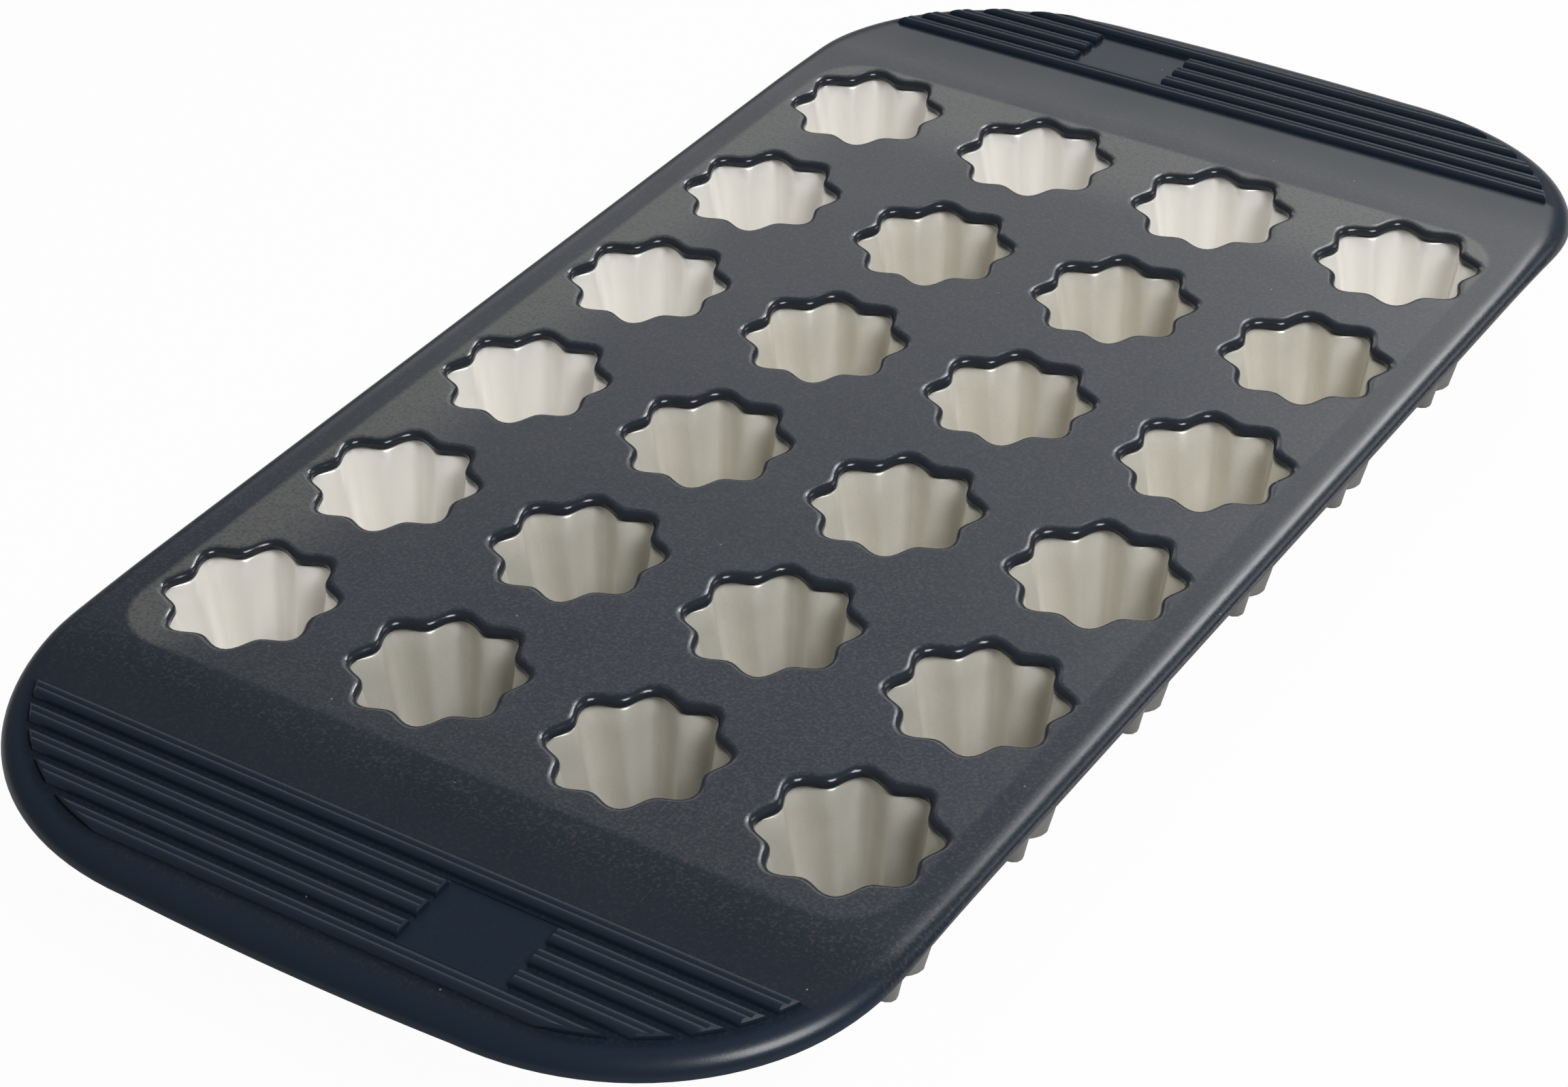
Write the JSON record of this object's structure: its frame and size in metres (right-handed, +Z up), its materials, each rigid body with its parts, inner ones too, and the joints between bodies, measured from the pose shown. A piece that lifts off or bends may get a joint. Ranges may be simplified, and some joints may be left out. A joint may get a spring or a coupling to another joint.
{
  "type": "mini canele mould",
  "caption": "Flexible ribbed-grip silicone baking tray over a steel plate, with a grid of fluted metal cups for small canele cakes.",
  "frame": {"origin": "on the table under the middle of the tray, level with the undersides of the cups", "axes": "+Z up; +X across the tray, along its ribs; +Y along the tray, from one grip to the other"},
  "size_m": [0.1838, 0.3676, 0.0308],
  "materials": {
    "silicone": "matt dark blue-grey silicone, fine grain, slightly shinier on the ribs and rims",
    "coated_aluminium": "champagne grey satin non-stick coat, fine grain",
    "coated_steel": "dark grey satin non-stick coat"
  },
  "bodies": {
    "root": {"silicone_frame": "silicone", "carrier_plate": "coated_steel", "cup_r1c1": "coated_aluminium", "cup_r1c2": "coated_aluminium", "cup_r1c3": "coated_aluminium", "cup_r1c4": "coated_aluminium", "cup_r2c1": "coated_aluminium", "cup_r2c2": "coated_aluminium", "cup_r2c3": "coated_aluminium", "cup_r2c4": "coated_aluminium", "cup_r3c1": "coated_aluminium", "cup_r3c2": "coated_aluminium", "cup_r3c3": "coated_aluminium", "cup_r3c4": "coated_aluminium", "cup_r4c1": "coated_aluminium", "cup_r4c2": "coated_aluminium", "cup_r4c3": "coated_aluminium", "cup_r4c4": "coated_aluminium", "cup_r5c1": "coated_aluminium", "cup_r5c2": "coated_aluminium", "cup_r5c3": "coated_aluminium", "cup_r5c4": "coated_aluminium", "cup_r6c1": "coated_aluminium", "cup_r6c2": "coated_aluminium", "cup_r6c3": "coated_aluminium", "cup_r6c4": "coated_aluminium"}
  },
  "joints": []
}
